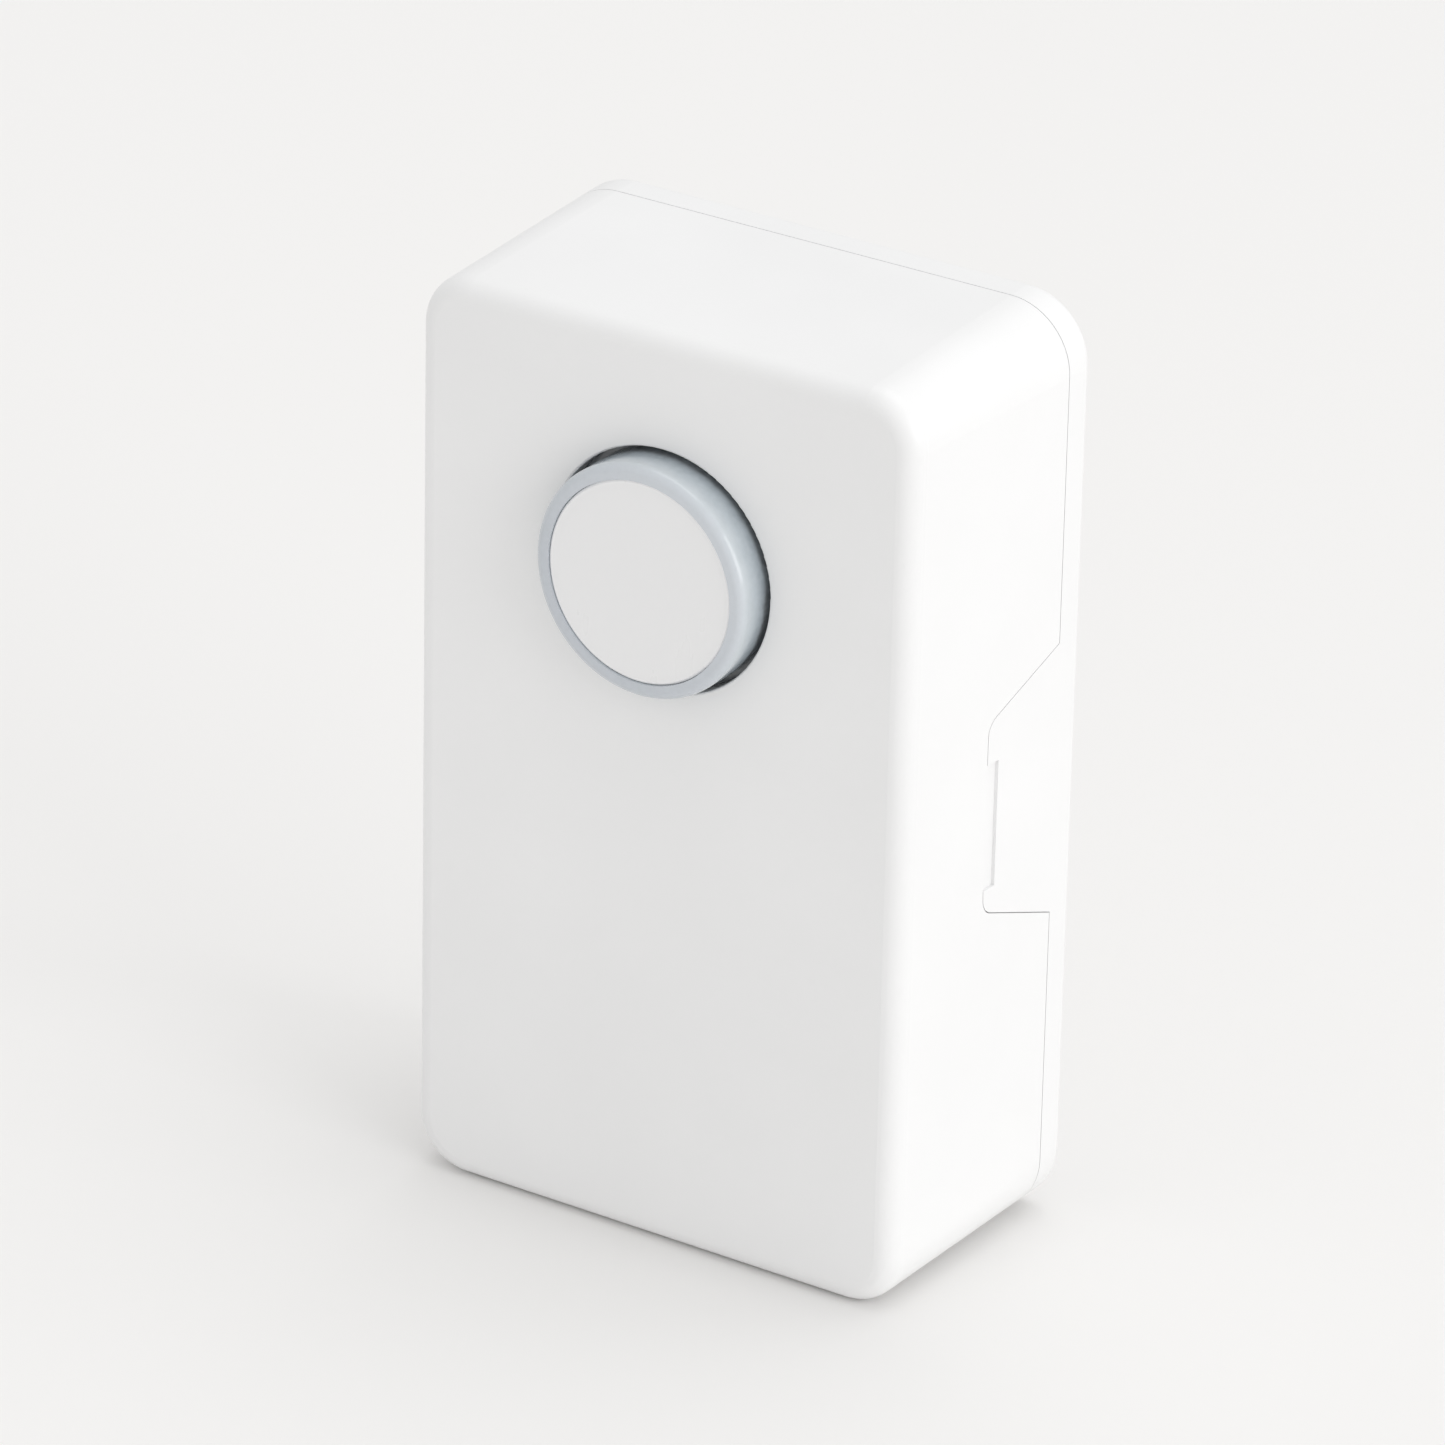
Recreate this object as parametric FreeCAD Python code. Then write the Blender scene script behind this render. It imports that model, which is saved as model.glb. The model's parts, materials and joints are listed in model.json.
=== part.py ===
"""Battery-powered doorbell push unit: a drafted white housing with a round lit button, and a rear cover
held by two squeeze tabs.

Millimetres. +Z is up, +Y points to the wall behind the unit, and the origin is the middle of the flat base.
Each function below makes one sub-part and returns its solid, or a group of separate solids."""

import FreeCAD
import Part

import math
import os

V = FreeCAD.Vector
ALONG_Y = V(0, 1, 0)

# Body
BODY_W, BODY_D, BODY_H = 58.6, 30.5, 100.0  # width and height are those of the front face
DRAFT = 0.044  # growth of the outline per millimetre of depth
CORNER_R = 5.9
FRONT_FILLET, BACK_FILLET = 2.2, 1.1
WALL = 2.2
COVER_T = 3.95  # depth of the strip of side wall that belongs to the rear cover
SEAM_GAP = 0.1
COVER_PLATE_T = 2.0  # thickness of the cover's flat back
LIP_T, LAP = 0.9, 1.2  # the housing's outer lip at the seam, and how far the cover reaches under it
Y_FRONT, Y_BACK = -BODY_D / 2, BODY_D / 2
Y_WALL = Y_FRONT + WALL  # inner face of the front wall
Y_SEAM = Y_BACK - COVER_T

# Squeeze tabs of the rear cover
TAB_Z = 50.4
TAB_FRONT_Y = -0.85
TAB_HALF_FRONT, TAB_HALF_SEAM = 10.3, 14.9
TAB_CORNER_R = 2.0
TAB_T = 2.0
NAIL_W, NAIL_LOW, NAIL_HIGH, NAIL_DEPTH = 1.9, 42.4, 56.3, 0.3

# Button
BUTTON_Z = 74.9
CAP_R, RING_R = 10.8, 12.4
HOLE_GAP = 0.6
BUTTON_OUT = 3.8  # how far the ring stands out of the front face
CAP_SUNK = 0.2  # how far the disc lies below the ring's front
STROKE = 0.8
RING_FILLET = 0.9
CAP_T, CUP_T = 1.5, 1.5
FLANGE_R, FLANGE_T = 14.2, 1.2
STEM_R, STEM_CLEARANCE = 2.5, 0.08
Y_RING = Y_FRONT - BUTTON_OUT
Y_CAP = Y_RING + CAP_SUNK
Y_CUP = Y_CAP + CAP_T
Y_FLANGE = Y_WALL + 0.1
Y_GUIDE, GUIDE_T = -10.6, 1.5
GUIDE_BOSS_OFF, GUIDE_BOSS_R = 17.5, 2.6
GUIDE_HUB_R, SLEEVE_T, SLEEVE_OUT = 7.6, 1.4, 1.6
CUP_SKIRT_T = 1.2

# Circuit board
BOARD_W, BOARD_LOW, BOARD_HIGH, BOARD_T = 48.0, 7.0, 94.0, 1.6
Y_BOARD = -6.0  # its front face
Y_BOARD_BACK = Y_BOARD + BOARD_T
BOARD_PILLARS = [(x, z) for x in (-20.5, 20.5) for z in (10.5, 90.0)]
TRAY_PILLARS = [(x, z) for x in (-22.6, 22.6) for z in (24.0, 78.0)]

# Key switch, lamps and other parts on the board's front
SWITCH_HALF, SWITCH_T = 3.0, 2.4
PLUNGER_R, PLUNGER_CLEARANCE = 1.75, 0.06
LAMP_CIRCLE_R, LAMP_COUNT = 12.2, 8
LAMP_T, LENS_R, LENS_T = 0.8, 0.85, 0.3
PROCESSOR_X, PROCESSOR_Z, PROCESSOR_W, PROCESSOR_T = -20.5, 48.0, 7.0, 0.9
RADIO = (4.0, 20.0, 46.5, 58.5)  # x and z limits of the radio module
RADIO_T, SHIELD_T, SHEET_T = 0.8, 2.0, 0.2
ANTENNA_HALF, ANTENNA_LOW, ANTENNA_W, ANTENNA_T, ANTENNA_OFF = 13.0, 89.6, 3.4, 0.3, 1.6
CAPACITOR_X, CAPACITOR_Z, CAPACITOR_R, CAPACITOR_T, CAPACITOR_BASE = (-8.5, -1.5), 50.5, 2.5, 5.4, 0.6

# Battery tray and its two AA cells
TRAY_INSET, RIM_T = 2.45, 1.6
Y_TRAY, TRAY_T = -2.6, 1.2
Y_RIM = 12.0  # rear edge of the tray's rim
BAY_HALF, BAY_LOW, BAY_HIGH, BAY_WALL, Y_BAY = 15.4, 20.6, 79.4, 1.4, 8.6
CELL_R, CELL_L, CELL_X, CELL_LOW = 7.15, 49.3, 7.45, 25.4
NUB_R, NUB_L = 2.75, 1.2
Y_CELL = Y_TRAY + TRAY_T + 0.15 + CELL_R

# Speaker and microphone
SPEAKER_Z, SPEAKER_R, SPEAKER_T = 29.0, 14.0, 4.4
GASKET_T, GASKET_W = 1.2, 1.8
CHAMBER_GAP, CHAMBER_T = 0.4, 1.2  # ring on the front wall that seals round the speaker
CONE_R, DOME_R, MAGNET_R = 12.3, 5.0, 6.9
SLOT_W, SLOT_PITCH, SLOTS_EACH_SIDE, SLOT_FRONT, SLOT_REAR = 1.2, 3.0, 3, -12.0, -5.5
MIC_X, MIC_PORT_Y = -15.0, Y_BOARD - 2.2

# Setup button, reached with the cover off
SETUP_X, SETUP_Z = 20.0, 73.0
SETUP_R, SETUP_FLANGE_R = 1.8, 2.3

# Wall-fixing holes, for the screws of a 60 mm wall box
FIX_SPACING, FIX_R, FIX_HEAD_R = 60.0, 2.25, 4.3
FIX_RIM_W, FIX_RIM_T, FIX_SINK = 1.2, 3.0, 2.0  # raised rim round each hole, and the countersink's depth


# ---------------------------------------------------------------- geometry helpers


def box(x0, x1, y0, y1, z0, z1):
    return Part.makeBox(x1 - x0, y1 - y0, z1 - z0, V(x0, y0, z0))


def rod(radius, y0, y1, x, z):
    """Cylinder along Y."""
    return Part.makeCylinder(radius, y1 - y0, V(x, y0, z), ALONG_Y)


def post(radius, z0, z1, x, y):
    """Cylinder along Z."""
    return Part.makeCylinder(radius, z1 - z0, V(x, y, z0))


def tube(outer, inner, y0, y1, x, z):
    return rod(outer, y0, y1, x, z).cut(rod(inner, y0 - 1, y1 + 1, x, z))


def joined(first, *others):
    return first.fuse(list(others)).removeSplitter()


def mirrored(shape):
    """The same shape on the other side, left for right."""
    return shape.mirror(V(0, 0, 0), V(1, 0, 0))


def edges_at(shape, y):
    """Edges that lie wholly in the plane at depth y."""
    return [e for e in shape.Edges if max(abs(v.Y - y) for v in e.Vertexes) < 1e-6]


def rims(shape, radius, y, tolerance=1e-3):
    """Round edges about Y of one radius in the plane at depth y."""
    return [
        e
        for e in shape.Edges
        if hasattr(e.Curve, "Radius")
        and abs(e.Curve.Radius - radius) < tolerance
        and abs(e.Curve.Center.y - y) < tolerance
    ]


def grow(y):
    """How much the drafted outline has grown at depth y."""
    return DRAFT * (y - Y_FRONT)


def half_width(y, inset=0.0):
    return BODY_W / 2 + grow(y) - inset


def outline(y, inset=0.0):
    """The body's outline at depth y as a wire, moved inwards by inset. Its bottom edge stays level."""
    half, low, high = half_width(y, inset), inset, BODY_H + grow(y) - inset
    r = max(CORNER_R + grow(y) - inset, 0.8)
    centres = [(half - r, low + r), (half - r, high - r), (r - half, high - r), (r - half, low + r)]

    def on_arc(quarter, part):
        angle = math.radians(90 * (quarter - 1) + part)
        x, z = centres[quarter]
        return V(x + r * math.cos(angle), y, z + r * math.sin(angle))

    edges = []
    for quarter in range(4):
        edges.append(Part.Arc(on_arc(quarter, 0), on_arc(quarter, 45), on_arc(quarter, 90)).toShape())
        edges.append(Part.LineSegment(on_arc(quarter, 90), on_arc((quarter + 1) % 4, 0)).toShape())
    return Part.Wire(edges)


def drafted(y0, y1, inset=0.0):
    """Solid between the outlines at two depths."""
    return Part.makeLoft([outline(y0, inset), outline(y1, inset)], True, True)


def frame(y0, y1, inset, width):
    """Band of a given width that follows the outline."""
    return drafted(y0, y1, inset).cut(drafted(y0 - 1, y1 + 1, inset + width))


def body():
    """The closed outside of the whole unit, with its edges rounded."""
    solid = drafted(Y_FRONT, Y_BACK)
    solid = solid.makeFillet(FRONT_FILLET, edges_at(solid, Y_FRONT))
    return solid.makeFillet(BACK_FILLET, edges_at(solid, Y_BACK))


def tab_block(side, spread, y_end):
    """Prism through one side wall with the tab's outline, larger all round by spread. side is 1 or -1."""
    slope = (TAB_HALF_SEAM - TAB_HALF_FRONT) / (Y_SEAM - TAB_FRONT_Y)
    front = TAB_FRONT_Y - spread
    half = TAB_HALF_FRONT + spread * (math.hypot(1, slope) - slope)
    rear_half = half + slope * (y_end - front)
    points = [(front, -half), (y_end, -rear_half), (y_end, rear_half), (front, half)]
    wire = Part.makePolygon([V(0, y, TAB_Z + z) for y, z in points + points[:1]])
    prism = Part.Face(wire).extrude(V(BODY_W, 0, 0))
    corners = [e for e in prism.Edges if all(abs(v.Y - front) < 1e-6 for v in e.Vertexes)]
    corners = [e for e in corners if abs(e.Vertexes[0].X - e.Vertexes[1].X) > 1]
    prism = prism.makeFillet(TAB_CORNER_R + spread, corners)
    prism.translate(V(BODY_W / 2 - WALL - 1.5, 0, 0))
    return prism if side > 0 else mirrored(prism)


def pan_screw(x, z, y_seat, length, shank_r, head_r, head_t):
    """Screw along Y whose head stands behind the seat, with a cross slot in the head."""
    head = rod(head_r, y_seat, y_seat + head_t, x, z)
    head = head.makeFillet(head_t * 0.45, rims(head, head_r, y_seat + head_t))
    arm, depth = head_r * 0.62, head_t * 0.5
    top = y_seat + head_t
    for half_x, half_z in ((arm, 0.2), (0.2, arm)):
        head = head.cut(box(x - half_x, x + half_x, top - depth, top + 1, z - half_z, z + half_z))
    return joined(head, rod(shank_r, y_seat - length, y_seat, x, z))


def screws(places, y_seat, length, shank_r, head_r, head_t):
    return Part.makeCompound([pan_screw(x, z, y_seat, length, shank_r, head_r, head_t) for x, z in places])


def coil(radius, wire_r, length, turns):
    """Compression spring about Z from 0, its wire's outer edges within the length."""
    rise = length - 2 * wire_r
    slope = rise / turns / (2 * math.pi * radius)
    path = Part.makeLongHelix(rise / turns, rise, radius)
    path.translate(V(0, 0, wire_r))
    ring = Part.Wire(Part.makeCircle(wire_r, V(radius, 0, wire_r), V(0, 1, slope)))
    return Part.Wire(path.Edges).makePipeShell([ring], True, True)


# ---------------------------------------------------------------- housing and cover


# The housing's screw bosses: where they stand, their rear end, radius, pilot radius and pilot depth
GUIDE_BOSSES = [(0, BUTTON_Z - GUIDE_BOSS_OFF), (0, BUTTON_Z + GUIDE_BOSS_OFF)]
BOSSES = [
    (GUIDE_BOSSES, Y_GUIDE, GUIDE_BOSS_R, 0.85, 3.4),
    (BOARD_PILLARS, Y_BOARD, 2.8, 0.85, 5.5),
    (TRAY_PILLARS, Y_TRAY, 3.0, 1.05, 6.5),
]


def speaker_slots():
    """Sound slots through the underside, below the speaker."""
    places = [SLOT_PITCH * step for step in range(-SLOTS_EACH_SIDE, SLOTS_EACH_SIDE + 1)]
    return [box(x - SLOT_W / 2, x + SLOT_W / 2, SLOT_FRONT, SLOT_REAR, -1, WALL + 1) for x in places]


def front_housing():
    shell = body().common(box(-60, 60, Y_FRONT - 1, Y_SEAM - SEAM_GAP / 2, -1, 120))
    shell = shell.cut(drafted(Y_WALL, Y_BACK + 1, WALL))
    bosses, pilots = [], []
    for places, y_end, radius, pilot_r, depth in BOSSES:
        bosses += [rod(radius, Y_WALL - 0.5, y_end, x, z) for x, z in places]
        pilots += [rod(pilot_r, y_end - depth, y_end + 1, x, z) for x, z in places]
    chamber_r = SPEAKER_R + CHAMBER_GAP
    chamber = tube(chamber_r + CHAMBER_T, chamber_r, Y_WALL - 0.5, Y_BOARD - 1.2, 0, SPEAKER_Z)
    duct = box(-11, 11, Y_WALL, Y_BOARD - 0.5, WALL, SPEAKER_Z - SPEAKER_R + 1.5)
    shell = joined(shell, *bosses, chamber.cut(duct))
    shell = shell.cut(rod(RING_R + HOLE_GAP, Y_FRONT - 1, Y_WALL + 1, 0, BUTTON_Z))
    shell = shell.makeFillet(0.2, rims(shell, RING_R + HOLE_GAP, Y_FRONT))
    under_lip = drafted(Y_FRONT, Y_BACK + 1, LIP_T)
    shell = shell.cut(drafted(Y_SEAM - LAP - SEAM_GAP, Y_BACK + 1, LIP_T))
    for side in (-1, 1):
        rebate = under_lip.common(tab_block(side, LAP + SEAM_GAP, Y_BACK + 5))
        shell = shell.cut([tab_block(side, SEAM_GAP, Y_BACK + 5), rebate])
    microphone_port = post(0.6, -1, WALL + 1, MIC_X, MIC_PORT_Y)
    return shell.cut(pilots + speaker_slots() + [microphone_port])


def squeeze_tab(side):
    """Tab flush with the side of the body, with a nail recess and a flange that reaches under the lip."""
    y_end = Y_SEAM + 1.0
    plate = body().common(tab_block(side, 0, y_end))
    flange = drafted(Y_FRONT, y_end, LIP_T + SEAM_GAP).common(tab_block(side, LAP, y_end))
    face = half_width(TAB_FRONT_Y)
    nail = box(face - NAIL_DEPTH, face + 5, TAB_FRONT_Y - 1, TAB_FRONT_Y + NAIL_W, NAIL_LOW, NAIL_HIGH)
    tab = plate.cut(nail if side > 0 else mirrored(nail))
    return joined(tab, flange).cut(drafted(Y_FRONT - 1, Y_BACK + 1, TAB_T))


def rear_cover():
    """Back plate with a rim, a tongue under the housing's lip, the tabs and the countersunk wall holes."""
    y_edge = Y_SEAM + SEAM_GAP / 2
    plate = body().common(box(-60, 60, y_edge, Y_BACK + 1, -1, 120))
    tongue = drafted(Y_SEAM - LAP, y_edge + 1, LIP_T + SEAM_GAP)
    plate = joined(plate, tongue).cut(drafted(Y_SEAM - LAP - 1, Y_BACK - COVER_PLATE_T, WALL))
    plate = joined(plate, squeeze_tab(-1), squeeze_tab(1))
    y_rim = Y_BACK - FIX_RIM_T
    for z in (BODY_H / 2 - FIX_SPACING / 2, BODY_H / 2 + FIX_SPACING / 2):
        rim = tube(FIX_HEAD_R + FIX_RIM_W, FIX_R, y_rim, Y_BACK - COVER_PLATE_T + 0.1, 0, z)
        sink = Part.makeCone(FIX_HEAD_R, FIX_R, FIX_SINK, V(0, y_rim, z), ALONG_Y)
        plate = joined(plate, rim).cut([rod(FIX_R, 0, Y_BACK + 1, 0, z), sink])
    return plate


def cover_gasket():
    return frame(Y_RIM + 0.1, Y_BACK - COVER_PLATE_T, TRAY_INSET, RIM_T + 0.3)


# ---------------------------------------------------------------- button


def button_cap():
    """Disc with a softened edge, fixed inside the ring."""
    disc = rod(CAP_R, Y_CAP, Y_CUP, 0, BUTTON_Z)
    return disc.makeFillet(0.35, rims(disc, CAP_R, Y_CAP))


def light_ring():
    """Ring round the disc, with a rounded front edge and a flange that stops it behind the front wall."""
    ring = rod(RING_R, Y_RING, Y_FLANGE + FLANGE_T, 0, BUTTON_Z)
    ring = ring.makeFillet(RING_FILLET, rims(ring, RING_R, Y_RING))
    flange = rod(FLANGE_R, Y_FLANGE, Y_FLANGE + FLANGE_T, 0, BUTTON_Z)
    return joined(ring, flange).cut(rod(CAP_R, Y_RING - 1, Y_WALL + 5, 0, BUTTON_Z))


def button_carrier():
    """Cup behind the disc, with the stem that reaches through the guide to the switch."""
    plate = rod(CAP_R, Y_CUP, Y_CUP + CUP_T, 0, BUTTON_Z)
    skirt = tube(CAP_R, CAP_R - CUP_SKIRT_T, Y_CUP, Y_FLANGE + FLANGE_T / 2, 0, BUTTON_Z)
    stem = rod(STEM_R, Y_CUP, Y_BOARD - 3.4, 0, BUTTON_Z)
    return joined(plate, skirt, stem)


def return_spring():
    length = Y_GUIDE - (Y_CUP + CUP_T)
    spring = coil(5.4, 0.3, length, 4)
    spring.rotate(V(0, 0, 0), V(1, 0, 0), -90)
    spring.translate(V(0, Y_CUP + CUP_T, BUTTON_Z))
    return spring


def button_guide():
    """Plate with the stem's bore and two arms that screw to the bosses."""
    y_back, half_arm = Y_GUIDE + GUIDE_T, GUIDE_BOSS_R
    hub = rod(GUIDE_HUB_R, Y_GUIDE, y_back, 0, BUTTON_Z)
    sleeve = rod(STEM_R + SLEEVE_T, Y_GUIDE - SLEEVE_OUT, Y_GUIDE, 0, BUTTON_Z)
    arms = box(-half_arm, half_arm, Y_GUIDE, y_back, GUIDE_BOSSES[0][1], GUIDE_BOSSES[1][1])
    ends = [rod(half_arm, Y_GUIDE, y_back, x, z) for x, z in GUIDE_BOSSES]
    holes = [rod(1.1, Y_GUIDE - 1, Y_BOARD, x, z) for x, z in GUIDE_BOSSES]
    bore = rod(STEM_R + STEM_CLEARANCE, Y_GUIDE - 5, Y_BOARD, 0, BUTTON_Z)
    return joined(hub, sleeve, arms, *ends).cut(holes + [bore])


def guide_screws():
    return screws(GUIDE_BOSSES, Y_GUIDE + GUIDE_T, 4.6, 0.85, 2.0, 1.2)


# ---------------------------------------------------------------- electronics


def key_switch():
    """Square switch body on four legs' worth of height, with the plunger's bore."""
    half = SWITCH_HALF
    case = box(-half, half, Y_BOARD - SWITCH_T, Y_BOARD, BUTTON_Z - half, BUTTON_Z + half)
    legs = [
        box(x - 0.9, x + 0.9, Y_BOARD - 0.4, Y_BOARD, z - 0.35, z + 0.35)
        for x in (-half - 0.6, half + 0.6)
        for z in (BUTTON_Z - 2.2, BUTTON_Z + 2.2)
    ]
    bore = rod(PLUNGER_R + PLUNGER_CLEARANCE, Y_BOARD - SWITCH_T - 1, Y_BOARD - 0.2, 0, BUTTON_Z)
    return joined(case, *legs).cut(bore)


def switch_plunger():
    tip = Y_BOARD - SWITCH_T - STROKE - 0.1
    plunger = rod(PLUNGER_R, tip, Y_BOARD - STROKE - 0.3, 0, BUTTON_Z)
    return plunger.makeFillet(0.2, rims(plunger, PLUNGER_R, tip))


def main_board():
    """Board with notches round the tray's pillars and its screw holes."""
    board = box(-BOARD_W / 2, BOARD_W / 2, Y_BOARD, Y_BOARD_BACK, BOARD_LOW, BOARD_HIGH)
    notches = [rod(3.4, Y_BOARD - 1, Y_BOARD_BACK + 1, x, z) for x, z in TRAY_PILLARS]
    holes = [rod(1.1, Y_BOARD - 1, Y_BOARD_BACK + 1, x, z) for x, z in BOARD_PILLARS]
    return board.cut(notches + holes)


def ring_leds():
    """Eight lamps facing the ring's flange, clear of the guide's arms."""
    lamps = []
    y_lens = Y_BOARD - LAMP_T
    for step in range(LAMP_COUNT):
        angle = 2 * math.pi * (step + 0.5) / LAMP_COUNT
        x, z = LAMP_CIRCLE_R * math.cos(angle), BUTTON_Z + LAMP_CIRCLE_R * math.sin(angle)
        base = box(x - 1.5, x + 1.5, y_lens, Y_BOARD, z - 1.2, z + 1.2)
        lens = rod(LENS_R, y_lens - LENS_T, y_lens, x, z)
        lamps.append(joined(base, lens))
    return Part.makeCompound(lamps)


def processor():
    x0, z0, w = PROCESSOR_X, PROCESSOR_Z, PROCESSOR_W
    return box(x0, x0 + w, Y_BOARD - PROCESSOR_T, Y_BOARD, z0, z0 + w)


def radio_module():
    x0, x1, z0, z1 = RADIO
    return box(x0, x1, Y_BOARD - RADIO_T, Y_BOARD, z0, z1)


def radio_shield():
    """Pressed can over the module, open towards the board."""
    x0, x1, z0, z1 = RADIO
    y_open = Y_BOARD - RADIO_T
    y_top, edge, inner = y_open - SHIELD_T, 1.0, 1.0 + SHEET_T
    can = box(x0 + edge, x1 - edge, y_top, y_open, z0 + edge, z1 - edge)
    return can.cut(box(x0 + inner, x1 - inner, y_top + SHEET_T, y_open + 0.1, z0 + inner, z1 - inner))


def antenna():
    """Stamped strip that stands off the board on two feet."""
    y_strip, low, half, t = Y_BOARD - ANTENNA_OFF, ANTENNA_LOW, ANTENNA_HALF, ANTENNA_T
    strip = box(-half, half, y_strip, y_strip + t, low, low + ANTENNA_W)
    feet = [box(x, x + 1.6, y_strip, Y_BOARD, low, low + t) for x in (-half, -half + 3.6)]
    slot = box(2.6 - half, half - 3.0, y_strip - 1, y_strip + 1, low + 1.4, low + 2.0)
    return joined(strip, *feet).cut(slot)


def capacitors():
    cans = []
    y_top, y_base, half = Y_BOARD - CAPACITOR_T, Y_BOARD - CAPACITOR_BASE, CAPACITOR_R + 0.2
    for x in CAPACITOR_X:
        can = rod(CAPACITOR_R, y_top, y_base, x, CAPACITOR_Z)
        can = can.makeFillet(0.4, rims(can, CAPACITOR_R, y_top))
        foot = box(x - half, x + half, y_base, Y_BOARD, CAPACITOR_Z - half, CAPACITOR_Z + half)
        cans.append(joined(can, foot))
    return Part.makeCompound(cans)


Y_SPEAKER = Y_WALL + GASKET_T  # front of the speaker's frame, behind its gasket


def speaker_frame():
    """Basket with an open front and a seat for the magnet."""
    basket = rod(SPEAKER_R, Y_SPEAKER, Y_SPEAKER + SPEAKER_T, 0, SPEAKER_Z)
    front = rod(SPEAKER_R - 1.6, Y_SPEAKER - 1, Y_SPEAKER + 1.6, 0, SPEAKER_Z)
    throat = rod(MAGNET_R + 0.1, Y_SPEAKER, Y_SPEAKER + SPEAKER_T + 1, 0, SPEAKER_Z)
    basket = basket.makeFillet(1.4, rims(basket, SPEAKER_R, Y_SPEAKER + SPEAKER_T))
    return basket.cut([front, throat])


def speaker_cone():
    """Shallow paper cone with a dome in its middle, inside the frame."""
    outer = Part.makeCone(CONE_R, DOME_R, 1.3, V(0, Y_SPEAKER + 0.2, SPEAKER_Z), ALONG_Y)
    inner = Part.makeCone(CONE_R - 0.3, DOME_R - 0.3, 1.3, V(0, Y_SPEAKER - 0.05, SPEAKER_Z), ALONG_Y)
    dome = rod(DOME_R, Y_SPEAKER + 1.0, Y_SPEAKER + 1.5, 0, SPEAKER_Z)
    return joined(outer.cut(inner), dome.makeFillet(0.4, rims(dome, DOME_R, Y_SPEAKER + 1.0)))


def speaker_magnet():
    y_back = Y_BOARD - 1.6
    magnet = rod(MAGNET_R, Y_SPEAKER + 1.9, y_back, 0, SPEAKER_Z)
    return magnet.makeFillet(0.4, rims(magnet, MAGNET_R, y_back))


def speaker_gasket():
    """Foam ring between the speaker and the front wall, open at the bottom to the sound slots."""
    ring = tube(SPEAKER_R, SPEAKER_R - GASKET_W, Y_WALL, Y_SPEAKER, 0, SPEAKER_Z)
    return ring.cut(box(-8, 8, Y_WALL - 1, Y_SPEAKER + 1, 0, SPEAKER_Z - SPEAKER_R + 5))


def speaker_contacts():
    """Two leaf springs between the frame's back and the board."""
    rear, leaves = Y_SPEAKER + SPEAKER_T, []
    for x in (-11.3, 9.7):
        pad = box(x, x + 1.6, Y_BOARD - 0.25, Y_BOARD, 26.0, 31.0)
        riser = box(x, x + 1.6, rear, Y_BOARD, 30.75, 31.0)
        finger = box(x, x + 1.6, rear, rear + 0.25, 27.0, 31.0)
        leaves.append(joined(pad, riser, finger))
    return Part.makeCompound(leaves)


def microphone():
    return box(MIC_X - 1.9, MIC_X + 1.9, Y_BOARD - 1.1, Y_BOARD, 8.0, 11.0)


def microphone_boot():
    """Rubber duct from the microphone down to its port in the underside."""
    sleeve = box(MIC_X - 2.6, MIC_X + 2.6, Y_BOARD - 3.4, Y_BOARD - 1.1, WALL, 11.5)
    foot = post(2.4, WALL, WALL + 1.2, MIC_X, MIC_PORT_Y)
    inlet = rod(0.6, MIC_PORT_Y, Y_BOARD, MIC_X, 9.5)
    return joined(sleeve, foot).cut([post(0.6, 0, 9.5, MIC_X, MIC_PORT_Y), inlet])


def setup_switch():
    half = 1.7
    x0, x1, z0, z1 = SETUP_X - half, SETUP_X + half, SETUP_Z - half, SETUP_Z + half
    return box(x0, x1, Y_BOARD_BACK, Y_BOARD_BACK + 0.9, z0, z1)


def setup_button():
    """Pin through the tray's floor, held by a flange under it."""
    y_front, y_end = Y_TRAY - 0.5, Y_TRAY + TRAY_T + 0.9
    pin = rod(SETUP_R, y_front, y_end, SETUP_X, SETUP_Z)
    pin = pin.makeFillet(0.3, rims(pin, SETUP_R, y_end))
    return joined(pin, rod(SETUP_FLANGE_R, y_front, Y_TRAY - 0.1, SETUP_X, SETUP_Z))


# ---------------------------------------------------------------- battery tray


def squeeze_room(wall):
    """Space behind the right tab, so that it can be pressed in, larger by a wall thickness on three sides."""
    half = 18.0 + wall
    return box(23.1 - wall, BODY_W, Y_TRAY + TRAY_T - wall, Y_RIM + 1, TAB_Z - half, TAB_Z + half)


def battery_tray():
    """Inner frame: a floor, a rim that steps in behind the tabs, and a bay with cradles for two cells."""
    inside = drafted(Y_TRAY, Y_RIM, TRAY_INSET)
    floor = drafted(Y_TRAY, Y_TRAY + TRAY_T, TRAY_INSET)
    rim = frame(Y_TRAY, Y_RIM, TRAY_INSET, RIM_T)
    walled, room = squeeze_room(BAY_WALL), squeeze_room(0)
    rim = joined(rim, inside.common(walled), inside.common(mirrored(walled))).cut([room, mirrored(room)])
    half = BAY_HALF + BAY_WALL
    outer = box(-half, half, Y_TRAY, Y_BAY, BAY_LOW - BAY_WALL, BAY_HIGH + BAY_WALL)
    bay = outer.cut(box(-BAY_HALF, BAY_HALF, Y_TRAY - 1, Y_BAY + 1, BAY_LOW, BAY_HIGH))
    cradle_z = (33.0, 66.0)
    cradles = [box(-BAY_HALF, BAY_HALF, Y_TRAY, Y_CELL - 1.5, z, z + 1.4) for z in cradle_z]
    tray = joined(floor, rim, bay, *cradles)
    cells = [post(CELL_R + 0.15, BAY_LOW + 0.5, BAY_HIGH - 0.5, x, Y_CELL) for x in (-CELL_X, CELL_X)]
    holes = [rod(1.3, Y_TRAY - 1, Y_TRAY + TRAY_T + 1, x, z) for x, z in TRAY_PILLARS]
    holes.append(rod(SETUP_R + 0.06, Y_TRAY - 1, Y_TRAY + TRAY_T + 1, SETUP_X, SETUP_Z))
    return tray.cut(cells + holes)


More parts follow.
